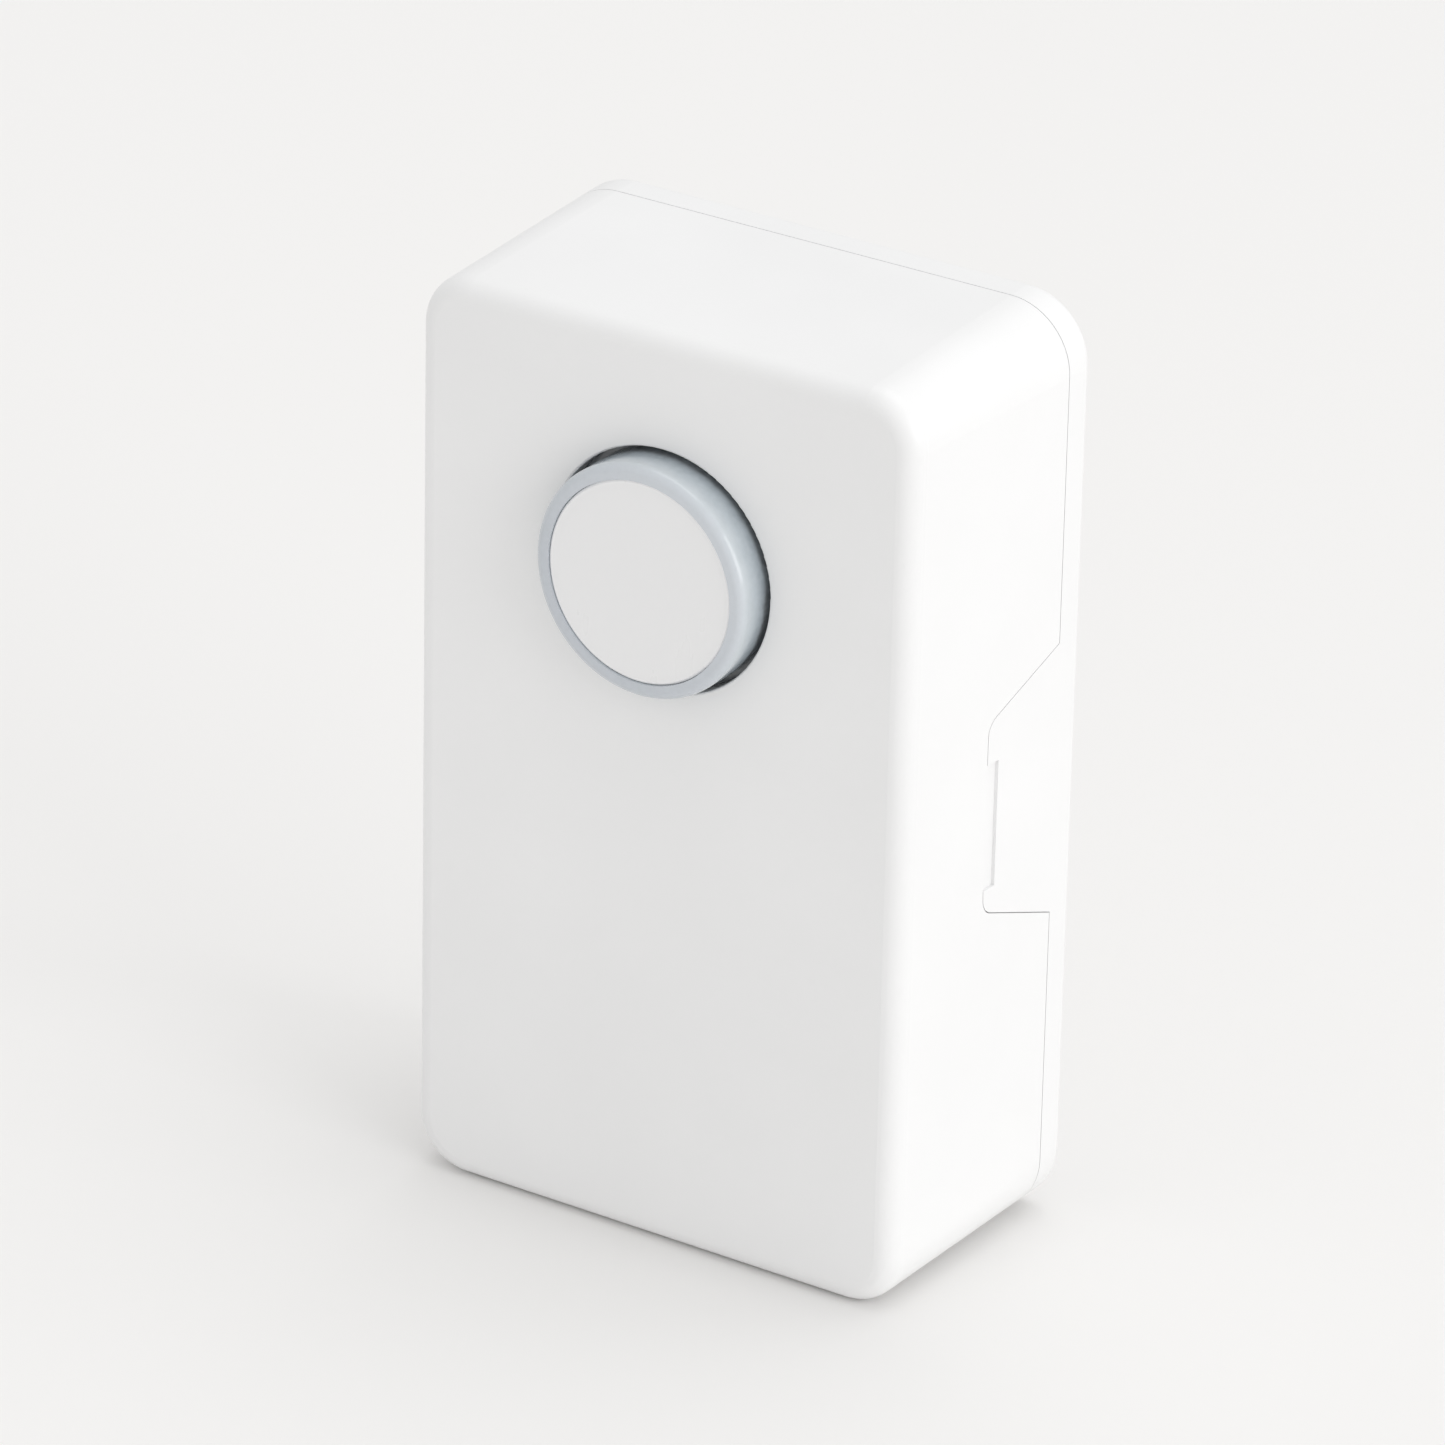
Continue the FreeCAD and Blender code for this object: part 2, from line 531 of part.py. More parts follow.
def tray_screws():
    return screws(TRAY_PILLARS, Y_TRAY + TRAY_T, 6.0, 1.05, 2.3, 1.5)


def board_screws():
    return screws(BOARD_PILLARS, Y_BOARD_BACK, 5.0, 0.85, 1.9, 1.2)


def cell(x, upright):
    """AA cell with a recessed shoulder round its positive nub."""
    can = post(CELL_R, CELL_LOW, CELL_LOW + CELL_L, x, Y_CELL)
    ends = [e for e in can.Edges if hasattr(e.Curve, "Radius")]
    can = can.makeFillet(0.6, ends)
    top = CELL_LOW + CELL_L
    nub = post(NUB_R, top - 0.5, top + NUB_L, x, Y_CELL)
    nub = nub.makeFillet(0.4, [e for e in nub.Edges if abs(e.CenterOfMass.z - top - NUB_L) < 1e-3])
    battery = joined(can, nub)
    if not upright:
        battery.rotate(V(x, Y_CELL, (BAY_LOW + BAY_HIGH) / 2), ALONG_Y, 180)
    return battery


def battery_springs():
    """Coils that press on the cells' flat ends: the left one from below, the right one from above."""
    plate_t, gap = 0.4, CELL_LOW - BAY_LOW
    springs = []
    for x, upright in ((-CELL_X, True), (CELL_X, False)):
        spring = coil(3.6, 0.35, gap - plate_t, 2.5)
        spring.translate(V(x, Y_CELL, BAY_LOW + plate_t))
        plate = box(x - 5.5, x + 5.5, Y_CELL - 5.5, Y_CELL + 1.0, BAY_LOW, BAY_LOW + plate_t)
        pair = [spring, plate]
        if not upright:
            for piece in pair:
                piece.rotate(V(x, Y_CELL, (BAY_LOW + BAY_HIGH) / 2), ALONG_Y, 180)
        springs += pair
    return Part.makeCompound(springs)


def contact_plates():
    """Plates that the cells' nubs touch."""
    nub_end = CELL_LOW + CELL_L + NUB_L
    middle = (BAY_LOW + BAY_HIGH) / 2
    plates = []
    for x, upright in ((-CELL_X, True), (CELL_X, False)):
        plate = box(x - 5.5, x + 5.5, Y_CELL - 5.5, Y_CELL + 1.0, BAY_HIGH - 0.4, BAY_HIGH)
        pip = post(2.0, nub_end, BAY_HIGH - 0.4, x, Y_CELL)
        plate = joined(plate, pip)
        if not upright:
            plate.rotate(V(x, Y_CELL, middle), ALONG_Y, 180)
        plates.append(plate)
    return Part.makeCompound(plates)


NODES = {
    "front_housing": front_housing,
    "rear_cover": rear_cover,
    "cover_gasket": cover_gasket,
    "button_cap": button_cap,
    "light_ring": light_ring,
    "button_carrier": button_carrier,
    "return_spring": return_spring,
    "button_guide": button_guide,
    "guide_screws": guide_screws,
    "key_switch": key_switch,
    "switch_plunger": switch_plunger,
    "main_board": main_board,
    "board_screws": board_screws,
    "ring_leds": ring_leds,
    "processor": processor,
    "radio_module": radio_module,
    "radio_shield": radio_shield,
    "antenna": antenna,
    "capacitors": capacitors,
    "speaker_frame": speaker_frame,
    "speaker_cone": speaker_cone,
    "speaker_magnet": speaker_magnet,
    "speaker_gasket": speaker_gasket,
    "speaker_contacts": speaker_contacts,
    "microphone": microphone,
    "microphone_boot": microphone_boot,
    "setup_switch": setup_switch,
    "setup_button": setup_button,
    "battery_tray": battery_tray,
    "tray_screws": tray_screws,
    "battery_left": lambda: cell(-CELL_X, True),
    "battery_right": lambda: cell(CELL_X, False),
    "battery_springs": battery_springs,
    "contact_plates": contact_plates,
}

os.makedirs("parts", exist_ok=True)
for name, make in NODES.items():
    make().exportStep(f"parts/{name}.step")
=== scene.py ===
"""Looks of the doorbell push unit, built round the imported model. Metres, in the model's own frame."""

import bpy
import bmesh
import json
import math
from mathutils import Matrix, Vector


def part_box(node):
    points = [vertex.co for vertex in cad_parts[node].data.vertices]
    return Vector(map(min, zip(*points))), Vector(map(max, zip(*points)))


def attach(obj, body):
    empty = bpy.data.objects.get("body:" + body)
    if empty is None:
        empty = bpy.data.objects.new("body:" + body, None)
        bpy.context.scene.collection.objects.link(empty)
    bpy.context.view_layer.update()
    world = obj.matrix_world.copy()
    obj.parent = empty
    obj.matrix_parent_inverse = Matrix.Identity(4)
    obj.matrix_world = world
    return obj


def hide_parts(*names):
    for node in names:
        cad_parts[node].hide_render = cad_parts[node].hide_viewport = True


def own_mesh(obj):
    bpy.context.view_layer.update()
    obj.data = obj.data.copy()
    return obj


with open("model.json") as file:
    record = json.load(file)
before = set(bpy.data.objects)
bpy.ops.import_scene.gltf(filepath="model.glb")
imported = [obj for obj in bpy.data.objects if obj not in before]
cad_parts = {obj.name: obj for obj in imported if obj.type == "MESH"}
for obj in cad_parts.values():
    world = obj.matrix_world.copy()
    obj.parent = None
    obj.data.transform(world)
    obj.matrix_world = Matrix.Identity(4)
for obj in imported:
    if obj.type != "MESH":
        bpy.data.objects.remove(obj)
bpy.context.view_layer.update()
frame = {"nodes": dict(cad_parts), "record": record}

MM = 0.001

WORLD, KEY, TOP = 0.771, 36.4, 20.6  # strengths of the sky, the side lamp and the lamp overhead
LAMP_SIZE = (2.4, 2.4)
LOOK_AT = (0, 0, 0.05)  # middle of the unit
FLOOR_SIZE, FLOOR_DROP = 12.0, 0.05 * MM  # the floor is a hair below the base, so that they don't coincide

SHELL, CAP = (0.86, 0.86, 0.86), (0.85, 0.85, 0.853)
# paler colour for the cap's rounded edge: a painted highlight
CAP_RIM_HIGHLIGHT = (0.96, 0.955, 0.96)
RING_FRONT, RING_EDGE, RING_MID = (0.52, 0.55, 0.59), (0.5, 0.545, 0.575), (0.37, 0.425, 0.465)
# painted shade: the ring's colours darken towards its foot, darkest where it sinks into the housing's hole
RING_SHADED_FOOT, RING_FOOT_SHADE = (0.3, 0.345, 0.38), (0.17, 0.185, 0.2)
# the first colour is painted light for the ring's upper right; the second is its frosted mottling
RING_PAINTED_LIGHT, RING_HAZE = (0.78, 0.82, 0.85), (0.72, 0.78, 0.84)

SPRING_WIRE, SPRING_RADIUS, SPRING_TURNS, CLOSED_TURNS = 0.3 * MM, 5.4 * MM, 6.0, 1.0
CHIP_HIGH, CHIP_LONG, CHIP_WIDE, CHIP_END = 0.4 * MM, 1.1 * MM, 0.6 * MM, 0.24 * MM


# ---------------------------------------------------------------- node helpers


class Shader:
    """A Principled material with short ways to add procedural detail, in object coordinates, in metres."""

    def __init__(self, name, colour, roughness, **sockets):
        self.material = bpy.data.materials.new(name)
        self.material.use_nodes = True
        self.tree = self.material.node_tree
        self.bsdf = self.tree.nodes["Principled BSDF"]
        self.bsdf.inputs["Base Color"].default_value = (*colour, 1.0)
        self.bsdf.inputs["Roughness"].default_value = roughness
        for socket, value in sockets.items():
            self.bsdf.inputs[socket.replace("_", " ")].default_value = value
        self.colour, self.roughness = colour, roughness
        self.place = self.tree.nodes.new("ShaderNodeTexCoord").outputs["Object"]
        self.normal = None

    def node(self, kind, **inputs):
        made = self.tree.nodes.new(kind)
        for name, value in inputs.items():
            self.feed(value, made.inputs[name.replace("_", " ")])
        return made

    def feed(self, value, socket):
        """Sets a socket to a number or colour, or links it to another node's output."""
        if isinstance(value, bpy.types.NodeSocket):
            self.tree.links.new(value, socket)
        else:
            socket.default_value = value

    def axis(self, name):
        """One object coordinate, X, Y or Z, in metres."""
        return self.node("ShaderNodeSeparateXYZ", Vector=self.place).outputs[name]

    def mapped(self, size, stretch=(1, 1, 1)):
        return self.node("ShaderNodeMapping", Vector=self.place, Scale=[s / size for s in stretch]).outputs[0]

    def noise(self, size, detail=3.0, stretch=(1, 1, 1), roughness=0.5):
        """Noise with features about size metres across."""
        made = self.node("ShaderNodeTexNoise", Vector=self.mapped(size, stretch), Scale=1.0)
        made.inputs["Detail"].default_value = detail
        made.inputs["Roughness"].default_value = roughness
        return made.outputs[0]

    def cells(self, size):
        """Voronoi distance with cells about size metres across."""
        return self.node("ShaderNodeTexVoronoi", Vector=self.mapped(size), Scale=1.0).outputs["Distance"]

    def math(self, operation, first, second=0.0):
        made = self.tree.nodes.new("ShaderNodeMath")
        made.operation = operation
        self.feed(first, made.inputs[0])
        self.feed(second, made.inputs[1])
        return made.outputs[0]

    def ramp(self, value, stops):
        """Maps a 0 to 1 value through (position, colour) stops."""
        made = self.node("ShaderNodeValToRGB", Fac=value)
        elements = made.color_ramp.elements
        while len(elements) < len(stops):
            elements.new(0.5)
        for element, (position, colour) in zip(elements, stops):
            element.position = position
            element.color = (*colour, 1.0)
        return made.outputs[0]

    def mix(self, amount, first, second):
        """Colour mix, first at 0 and second at 1."""
        made = self.tree.nodes.new("ShaderNodeMix")
        made.data_type = "RGBA"
        self.feed(amount, made.inputs["Factor"])
        for socket, value in (("A", first), ("B", second)):
            colour = value if isinstance(value, bpy.types.NodeSocket) else (*value, 1.0)
            self.feed(colour, [i for i in made.inputs if i.name == socket and i.type == "RGBA"][0])
        return [o for o in made.outputs if o.type == "RGBA"][0]

    def scaled(self, value, low, high, from_low=0.3, from_high=0.7):
        """Maps from_low and from_high to low and high, clamped at both ends."""
        made = self.node("ShaderNodeMapRange", Value=value)
        limits = {"From Min": from_low, "From Max": from_high, "To Min": low, "To Max": high}
        for name, number in limits.items():
            made.inputs[name].default_value = number
        return made.outputs[0]

    def bump(self, height, distance, strength=1.0):
        made = self.node("ShaderNodeBump", Height=height, Distance=distance, Strength=strength)
        if self.normal:
            self.feed(self.normal, made.inputs["Normal"])
        self.normal = made.outputs[0]
        self.feed(self.normal, self.bsdf.inputs["Normal"])

    def vary_colour(self, value, spread):
        """Colour drifts by spread of itself, lighter and darker, with the value."""
        dark = [c * (1 - spread) for c in self.colour]
        light = [min(1.0, c * (1 + spread)) for c in self.colour]
        self.feed(self.ramp(value, [(0.3, dark), (0.7, light)]), self.bsdf.inputs["Base Color"])

    def vary_roughness(self, value, spread):
        low, high = max(0.02, self.roughness - spread), self.roughness + spread
        self.feed(self.scaled(value, low, high), self.bsdf.inputs["Roughness"])


# ---------------------------------------------------------------- materials, one for each slot


def moulded(name, colour, roughness, grain, grain_depth, **sockets):
    """Moulded plastic: a fine eroded grain, slow flow-line drift in gloss, and a trace of colour drift."""
    s = Shader(name, colour, roughness, **sockets)
    s.vary_colour(s.noise(0.02, 2.0), 0.012)
    s.vary_roughness(s.noise(0.006, 4.0, (1, 1, 0.4)), 0.05)
    s.bump(s.noise(grain, 2.0), grain_depth, 0.5)
    s.bump(s.noise(0.012, 1.0), 0.00003, 0.3)
    return s.material


def metal(name, colour, roughness, streak, depth, stretch, **sockets):
    """Metal with fine directional streaks, blotchy tarnish and a soft waviness."""
    s = Shader(name, colour, roughness, Metallic=1.0, **sockets)
    s.vary_colour(s.noise(0.003, 5.0, roughness=0.65), 0.09)
    s.vary_roughness(s.noise(streak, 3.0, stretch), 0.09)
    s.bump(s.noise(streak, 2.0, stretch), depth, 0.5)
    s.bump(s.noise(0.002, 2.0), depth * 3, 0.25)
    return s.material


def shell_white():
    return moulded("shell_white", SHELL, 0.42, 0.00022, 0.000006, IOR=1.5)


def cap_white():
    """Satin white disc whose thin rounded edge is painted paler, a painted highlight where the edge catches
    light.
    """
    s = Shader("cap_white", CAP, 0.3, IOR=1.5, Coat_Weight=0.12, Coat_Roughness=0.2)
    low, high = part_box("button_cap")
    middle, radius = (low + high) / 2, (high.x - low.x) / 2
    beside = s.math("POWER", s.math("SUBTRACT", s.axis("X"), middle.x), 2.0)
    above = s.math("POWER", s.math("SUBTRACT", s.axis("Z"), middle.z), 2.0)
    reach = s.math("SQRT", s.math("ADD", beside, above))
    # painted highlight: the outer half millimetre of the disc is painted paler
    rim_highlight = s.scaled(reach, 0.0, 1.0, radius - 0.5 * MM, radius - 0.15 * MM)
    worn = s.mix(s.scaled(s.noise(0.02, 2.0), 0.0, 0.03), CAP, (0.8, 0.79, 0.76))
    s.feed(s.mix(rim_highlight, worn, CAP_RIM_HIGHLIGHT), s.bsdf.inputs["Base Color"])
    s.vary_roughness(s.noise(0.006, 4.0, (1, 1, 0.4)), 0.05)
    s.bump(s.noise(0.00016, 2.0), 0.000002, 0.5)
    s.bump(s.noise(0.012, 1.0), 0.00003, 0.3)
    return s.material


def ring_translucent():
    """Smoky clear ring, darker from its frosted front to its foot in painted shade, and paler on the upper
    right in painted light.
    """
    s = Shader("ring_translucent", RING_FRONT, 0.2, IOR=1.55, Coat_Weight=0.55, Coat_Roughness=0.07)
    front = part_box("light_ring")[0].y
    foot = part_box("front_housing")[0].y
    # painted shade: colour runs darker from the ring's front to its foot
    depth = s.scaled(s.axis("Y"), 0.0, 1.0, front, foot + 0.4 * MM)
    wavy = s.math("ADD", depth, s.scaled(s.noise(0.0022, 3.0), -0.07, 0.07))
    stops = [(0.0, RING_FRONT), (0.16, RING_EDGE), (0.5, RING_MID), (0.85, RING_SHADED_FOOT), (1.0, RING_FOOT_SHADE)]
    colour = s.ramp(wavy, stops)
    # painted light: the upper right of the ring, towards the side lamp, is painted paler, less so towards the
    # foot
    low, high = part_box("light_ring")
    across = s.scaled(s.axis("X"), 0.0, 0.5, low.x, high.x)
    upward = s.scaled(s.axis("Z"), 0.0, 0.5, low.z, high.z)
    painted_light_mask = s.scaled(s.math("ADD", across, upward), 0.0, 0.4, 0.35, 0.9)
    painted_light_colour = s.mix(s.math("MULTIPLY", painted_light_mask, s.scaled(depth, 1.0, 0.25, 0.0, 1.0)), colour, RING_PAINTED_LIGHT)
    mottled = s.mix(s.scaled(s.noise(0.0007, 3.0), 0.0, 0.12), painted_light_colour, RING_HAZE)
    s.feed(mottled, s.bsdf.inputs["Base Color"])
    s.vary_roughness(s.noise(0.0014, 3.0), 0.06)
    s.bump(s.noise(0.0016, 2.0), 0.00003, 0.35)
    s.bump(s.noise(0.00025, 2.0), 0.000004, 0.4)
    return s.material


def frame_plastic():
    return moulded("frame_plastic", (0.66, 0.665, 0.65), 0.55, 0.0004, 0.000012)


def seal_rubber():
    s = Shader("seal_rubber", (0.022, 0.023, 0.025), 0.72, Sheen_Weight=0.25, Sheen_Roughness=0.5)
    s.vary_colour(s.noise(0.0015, 4.0), 0.35)
    s.vary_roughness(s.noise(0.0008, 3.0), 0.08)
    s.bump(s.noise(0.0003, 3.0), 0.00002, 0.6)
    return s.material


def seal_foam():
    """Closed-cell foam: small hollows with a ragged edge, each painted darker inside as painted shade."""
    s = Shader("seal_foam", (0.02, 0.02, 0.021), 0.9)
    pit_shade_and_depth = s.cells(0.00035)
    # painted shade: the same cell pattern darkens the colour in each hollow
    s.vary_colour(pit_shade_and_depth, 0.6)
    s.bump(pit_shade_and_depth, 0.00012, 0.9)
    s.bump(s.noise(0.0001, 3.0), 0.00002, 0.5)
    return s.material


def spring_steel():
    return metal("spring_steel", (0.56, 0.56, 0.57), 0.27, 0.00012, 0.000004, (1, 1, 0.2), Anisotropic=0.3)


def screw_steel():
    return metal("screw_steel", (0.6, 0.6, 0.63), 0.3, 0.00015, 0.000004, (1, 0.2, 1))


def switch_black():
    return moulded("switch_black", (0.018, 0.018, 0.02), 0.45, 0.0002, 0.000008)


def switch_plunger():
    return moulded("switch_plunger", (0.62, 0.57, 0.42), 0.38, 0.0002, 0.000004)


def board_green():
    """Solder mask over copper: fine tracks on a grid, pads, and weave showing faintly through."""
    s = Shader("board_green", (0.012, 0.11, 0.045), 0.34, Coat_Weight=0.4, Coat_Roughness=0.12)
    turned = s.node("ShaderNodeMapping", Vector=s.place, Rotation=(math.pi / 2, 0, 0), Scale=[1 / MM] * 3)
    tracks = s.node("ShaderNodeTexBrick", Vector=turned.outputs[0], Scale=0.34, Mortar_Size=0.055)
    tracks.inputs["Mortar Smooth"].default_value = 0.1
    tracks.inputs["Brick Width"].default_value = 2.7
    tracks.inputs["Row Height"].default_value = 0.42
    broken = s.math("GREATER_THAN", s.noise(0.006, 2.0), 0.47)
    covered = s.math("MULTIPLY", tracks.outputs["Fac"], broken)
    weave = s.noise(0.0009, 2.0, (1, 1, 3))
    mask = s.ramp(weave, [(0.3, (0.009, 0.085, 0.035)), (0.7, (0.014, 0.13, 0.052))])
    s.feed(s.mix(covered, mask, (0.035, 0.24, 0.075)), s.bsdf.inputs["Base Color"])
    s.bump(covered, 0.00003, 0.6)
    s.bump(weave, 0.000006, 0.4)
    s.vary_roughness(s.noise(0.002, 3.0), 0.08)
    return s.material


def led_white():
    """White ceramic base, with yellow phosphor in the lens in front."""
    s = Shader("led_white", (0.85, 0.84, 0.8), 0.35, Coat_Weight=0.3, Coat_Roughness=0.1)
    lens_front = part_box("ring_leds")[0].y
    lens = s.math("LESS_THAN", s.axis("Y"), lens_front + 0.29 * MM)
    phosphor = s.ramp(s.noise(0.0003, 3.0), [(0.3, (0.72, 0.55, 0.08)), (0.7, (0.86, 0.7, 0.16))])
    base = s.ramp(s.noise(0.0008, 2.0), [(0.3, (0.78, 0.77, 0.73)), (0.7, (0.88, 0.87, 0.83))])
    s.feed(s.mix(lens, base, phosphor), s.bsdf.inputs["Base Color"])
    s.bump(s.noise(0.0002, 2.0), 0.000006, 0.5)
    return s.material


def chip_black():
    s = Shader("chip_black", (0.016, 0.016, 0.017), 0.58)
    s.vary_colour(s.noise(0.0012, 4.0), 0.25)
    s.vary_roughness(s.noise(0.0004, 3.0), 0.07)
    s.bump(s.noise(0.00008, 3.0), 0.000008, 0.6)
    return s.material


def tin_plate():
    return metal("tin_plate", (0.62, 0.62, 0.6), 0.33, 0.0002, 0.000003, (0.15, 1, 1), Anisotropic=0.25)


def can_aluminium():
    """Aluminium can; its front is turned, so it has faint rings."""
    s = Shader("can_aluminium", (0.66, 0.67, 0.69), 0.3, Metallic=1.0)
    s.vary_colour(s.noise(0.002, 4.0), 0.06)
    s.vary_roughness(s.noise(0.0005, 3.0, (1, 0.1, 1)), 0.08)
    s.bump(s.noise(0.0003, 2.0, (1, 0.1, 1)), 0.000004, 0.5)
    return s.material


def cone_paper():
    """Felted paper with short fibres."""
    s = Shader("cone_paper", (0.03, 0.029, 0.028), 0.85, Sheen_Weight=0.15)
    fibres = s.noise(0.0009, 5.0, (1, 1, 6), roughness=0.7)
    s.vary_colour(fibres, 0.5)
    s.bump(fibres, 0.00003, 0.7)
    s.vary_roughness(s.noise(0.001, 3.0), 0.07)
    return s.material


def magnet_steel():
    return metal("magnet_steel", (0.42, 0.42, 0.45), 0.36, 0.0003, 0.000005, (1, 0.3, 1))


def gold_contact():
    return metal("gold_contact", (0.83, 0.58, 0.22), 0.2, 0.0002, 0.000002, (1, 1, 0.2))


def setup_grey():
    return moulded("setup_grey", (0.17, 0.185, 0.21), 0.42, 0.0002, 0.000006)


def cell(name, positive_up):
    """Battery: a plain blue-grey sleeve, a pale band at its positive end, and bare metal at both ends."""
    s = Shader(name, (0.05, 0.06, 0.07), 0.28, Coat_Weight=0.6, Coat_Roughness=0.08)
    low, high = (corner.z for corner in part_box(name))
    nub = 1.2 * MM
    flat_end, shoulder = (low, high - nub) if positive_up else (high, low + nub)
    along = s.scaled(s.axis("Z"), 0.0, 1.0, flat_end, shoulder)
    sleeve = s.ramp(s.noise(0.004, 3.0), [(0.3, (0.09, 0.14, 0.19)), (0.7, (0.12, 0.175, 0.23))])
    band = s.ramp(s.noise(0.003, 3.0), [(0.3, (0.42, 0.44, 0.45)), (0.7, (0.5, 0.52, 0.53))])
    banded = s.mix(s.math("GREATER_THAN", along, 0.74), sleeve, band)
    steel = s.ramp(s.noise(0.0012, 4.0), [(0.3, (0.5, 0.5, 0.5)), (0.7, (0.62, 0.62, 0.61))])
    bare = s.math("MAXIMUM", s.math("LESS_THAN", along, 0.008), s.math("GREATER_THAN", along, 0.988))
    s.feed(s.mix(bare, banded, steel), s.bsdf.inputs["Base Color"])
    s.feed(bare, s.bsdf.inputs["Metallic"])
    s.bump(s.noise(0.006, 2.0, (1, 1, 0.3)), 0.00004, 0.3)
    s.bump(s.noise(0.0002, 2.0), 0.000002, 0.4)
    return s.material


MATERIALS = {
    "shell_white": shell_white,
    "cap_white": cap_white,
    "ring_translucent": ring_translucent,
    "frame_plastic": frame_plastic,
    "seal_rubber": seal_rubber,
    "seal_foam": seal_foam,
    "spring_steel": spring_steel,
    "screw_steel": screw_steel,
    "switch_black": switch_black,
    "switch_plunger": switch_plunger,
    "board_green": board_green,
    "led_white": led_white,
    "chip_black": chip_black,
    "tin_plate": tin_plate,
    "can_aluminium": can_aluminium,
    "cone_paper": cone_paper,
    "magnet_steel": magnet_steel,
    "gold_contact": gold_contact,
    "setup_grey": setup_grey,
}
CELLS = {"battery_left": True, "battery_right": False}  # whether the positive end is up

materials_made = {}


def material(slot):
    if slot not in materials_made:
        materials_made[slot] = MATERIALS[slot]()
    return materials_made[slot]


def paint_nodes():
    for part in frame["record"]["subparts"]:
        name = part["node"]
        look = cell(name, CELLS[name]) if name in CELLS else material(part["material_slot"])
        for place in frame["nodes"][name].material_slots:
            place.material = look


# ---------------------------------------------------------------- added pieces


def piece(name, mesh_maker, slot, body="root"):
    """New mesh object from a bmesh, with a slot's material, riding on a body."""
    bm = bmesh.new()
    mesh_maker(bm)
    bmesh.ops.recalc_face_normals(bm, faces=bm.faces)
    mesh = bpy.data.meshes.new(name)
    bm.to_mesh(mesh)
    bm.free()
    obj = bpy.data.objects.new(name, mesh)
    bpy.context.scene.collection.objects.link(obj)
    mesh.materials.append(material(slot))
    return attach(obj, body)


def smooth(obj):
    for face in obj.data.polygons:
        face.use_smooth = True
    return obj


def sweep(bm, path, radius, sides):
    """Round wire along a list of points, closed at both ends."""
    rings = []
    for index, point in enumerate(path):
        ahead = (path[min(index + 1, len(path) - 1)] - path[max(index - 1, 0)]).normalized()
        out = ahead.cross(Vector((0, 1, 0))).normalized()
        up = out.cross(ahead)
        turns = [2 * math.pi * k / sides for k in range(sides)]
        rings.append([bm.verts.new(point + (out * math.cos(t) + up * math.sin(t)) * radius) for t in turns])
    for a, b in zip(rings, rings[1:]):
        for k in range(sides):
            bm.faces.new((a[k], a[(k + 1) % sides], b[(k + 1) % sides], b[k]))
    bm.faces.new(rings[0])
    bm.faces.new(rings[-1])


def return_spring():
    """Compression spring with closed end coils, between the button's cup and the guide."""
    low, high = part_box("return_spring")
    cap_low, cap_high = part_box("button_cap")
    length, centre_z = high.y - low.y, (cap_low.z + cap_high.z) / 2
    wire, radius, turns, closed = SPRING_WIRE, SPRING_RADIUS, SPRING_TURNS, CLOSED_TURNS
    steps = 40
    path = []
    for step in range(int(turns * steps) + 1):
        turn = step / steps
        middle = min(max((turn - closed) / (turns - 2 * closed), 0.0), 1.0)
        end_rise = 2.0 * wire * (min(turn, closed) + max(turn - turns + closed, 0.0))
        rise = wire + end_rise + (length - 2 * wire - 4 * wire * closed) * middle
        angle = 2 * math.pi * turn
        path.append(Vector((radius * math.cos(angle), low.y + rise, centre_z + radius * math.sin(angle))))
    coil = smooth(piece("return_spring_coil", lambda bm: sweep(bm, path, wire, 12), "spring_steel"))
    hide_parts("return_spring")
    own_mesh(coil)


def block(bm, centre, size, bevel):
    """Box with rounded edges."""
    place = Matrix.Translation(centre) @ Matrix.Diagonal((*size, 1.0))
    made_box = bmesh.ops.create_cube(bm, size=1.0, matrix=place)
    edges = list({e for v in made_box["verts"] for e in v.link_edges})
    bmesh.ops.bevel(bm, geom=edges, offset=bevel, segments=2, affect="EDGES", profile=0.6)


def small_parts():
    """Chip resistors and capacitors on the board's front, as dark or tan bodies between tinned ends."""
    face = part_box("main_board")[0].y
    chip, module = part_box("processor"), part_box("radio_module")
    places = [(chip[0].x + (0.6 + 1.45 * k) * MM, chip[1].z + 1.9 * MM) for k in range(5)]
    places += [(chip[0].x + (0.6 + 1.45 * k) * MM, chip[0].z - 1.9 * MM) for k in range(5)]
    places += [(module[0].x + (1.2 + 2.3 * k) * MM, module[0].z - 1.6 * MM) for k in range(6)]
    high, long, wide, end = CHIP_HIGH, CHIP_LONG, CHIP_WIDE, CHIP_END

    def bodies(first):
        def build(bm):
            for x, z in places[first::2]:
                block(bm, (x, face - high / 2, z), (wide, high, long - 2 * end), 0.03 * MM)
        return build

    def ends(bm):
        for x, z in places:
            for side in (-1, 1):
                centre = (x, face - high / 2, z + side * (long - end) / 2)
                block(bm, centre, (wide * 1.04, high * 1.04, end), 0.05 * MM)
            for side in (-1, 1):
                pad = (x, face - 0.03 * MM, z + side * long / 2)
                block(bm, pad, (wide * 1.2, 0.06 * MM, 0.5 * MM), 0.02 * MM)

    piece("chip_resistors", bodies(0), "chip_black")
    piece("chip_capacitors", bodies(1), "switch_plunger")
    piece("chip_ends", ends, "tin_plate")


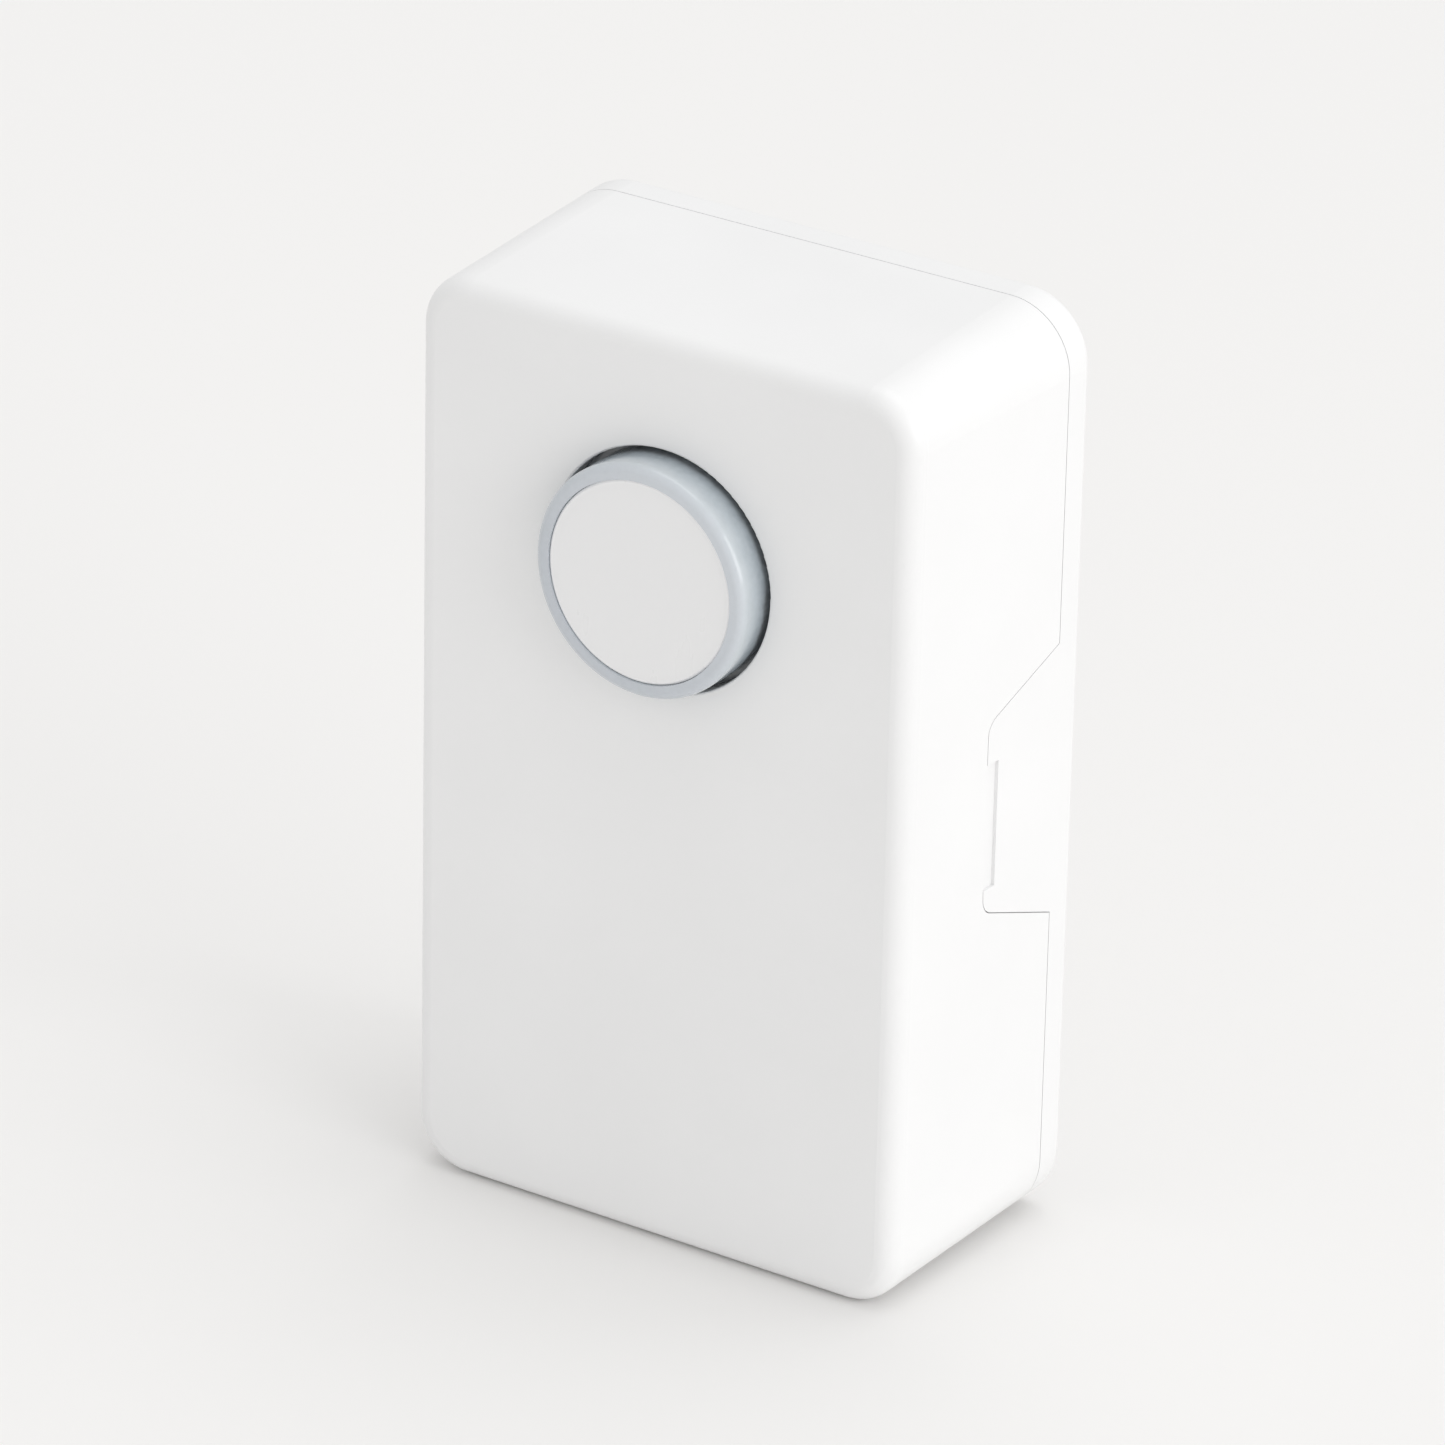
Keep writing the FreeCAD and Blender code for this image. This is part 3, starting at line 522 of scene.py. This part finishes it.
def processor_legs():
    """Gull-wing legs on all four sides of the processor."""
    low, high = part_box("processor")
    face = high.y
    # Reach outwards and height off the board, in millimetres
    profile = [(0.0, -0.45), (0.25, -0.45), (0.4, -0.12), (0.85, -0.1)]
    wide, thick, pitch, count = 0.22 * MM, 0.1 * MM, 0.5 * MM, 12

    def build(bm):
        for quarter in range(4):
            along = Vector((1, 0, 0)) if quarter % 2 == 0 else Vector((0, 0, 1))
            out = [Vector((0, 0, 1)), Vector((1, 0, 0)), Vector((0, 0, -1)), Vector((-1, 0, 0))][quarter]
            centre = Vector(((low.x + high.x) / 2, face, (low.z + high.z) / 2)) + out * (high.x - low.x) / 2
            for leg in range(count):
                root = centre + along * (leg - (count - 1) / 2) * pitch
                rows = []
                for reach, rise in profile:
                    spot = root + out * reach * MM + Vector((0, rise * MM, 0))
                    corners = [(-wide / 2, 0), (wide / 2, 0), (wide / 2, thick), (-wide / 2, thick)]
                    rows.append([bm.verts.new(spot + along * a + Vector((0, b, 0))) for a, b in corners])
                for a, b in zip(rows, rows[1:]):
                    for k in range(4):
                        bm.faces.new((a[k], a[(k + 1) % 4], b[(k + 1) % 4], b[k]))
                bm.faces.new(rows[0])
                bm.faces.new(rows[-1])

    piece("processor_legs", build, "tin_plate")


# ---------------------------------------------------------------- studio


def area_light(name, place, power):
    data = bpy.data.lights.new(name, "AREA")
    data.shape = "RECTANGLE"
    data.size, data.size_y = LAMP_SIZE
    data.energy = power
    lamp = bpy.data.objects.new(name, data)
    bpy.context.scene.collection.objects.link(lamp)
    lamp.location = place
    lamp.rotation_mode = "QUATERNION"
    lamp.rotation_quaternion = (Vector(LOOK_AT) - Vector(place)).to_track_quat("-Z", "Y")


def floor():
    bpy.ops.mesh.primitive_plane_add(size=FLOOR_SIZE, location=(0, 0, -FLOOR_DROP))
    plane = bpy.context.object
    plane.name = "studio_floor"
    s = Shader("studio_floor", (0.868, 0.86, 0.85), 0.85)
    s.vary_colour(s.noise(0.3, 2.0), 0.003)
    plane.data.materials.append(s.material)


def studio():
    world = bpy.data.worlds.new("studio")
    bpy.context.scene.world = world
    world.use_nodes = True
    background = world.node_tree.nodes["Background"]
    background.inputs["Color"].default_value = (1.0, 1.0, 1.0, 1.0)
    background.inputs["Strength"].default_value = WORLD
    floor()
    area_light("key", (3.0, -0.4, 0.9), KEY)
    area_light("top", (0.2, 0.6, 3.0), TOP)
    bpy.context.scene.view_settings.view_transform = "Standard"


def camera():
    """Long lens, 33 degrees round to the right side and 25 degrees up."""
    azimuth, elevation, roll = math.radians(32.98), math.radians(25.01), math.radians(1.19)
    distance, aim_right, aim_up = 0.9145, 0.00171, -0.00233
    level = Vector((math.cos(azimuth), math.sin(azimuth), 0))
    outwards = Vector((math.sin(azimuth), -math.cos(azimuth), 0))
    back = outwards * math.cos(elevation) + Vector((0, 0, math.sin(elevation)))
    upright = back.cross(level)
    right = level * math.cos(roll) + upright * math.sin(roll)
    up = upright * math.cos(roll) - level * math.sin(roll)
    data = bpy.data.cameras.new("camera")
    data.lens, data.sensor_width = 225.1, 36.0
    data.clip_start, data.clip_end = 0.05, 50.0
    cam = bpy.data.objects.new("camera", data)
    bpy.context.scene.collection.objects.link(cam)
    place = Vector(LOOK_AT) + back * distance - right * aim_right - up * aim_up
    cam.matrix_world = Matrix.Translation(place) @ Matrix((right, up, back)).transposed().to_4x4()
    bpy.context.scene.camera = cam


paint_nodes()
return_spring()
small_parts()
processor_legs()
studio()
camera()
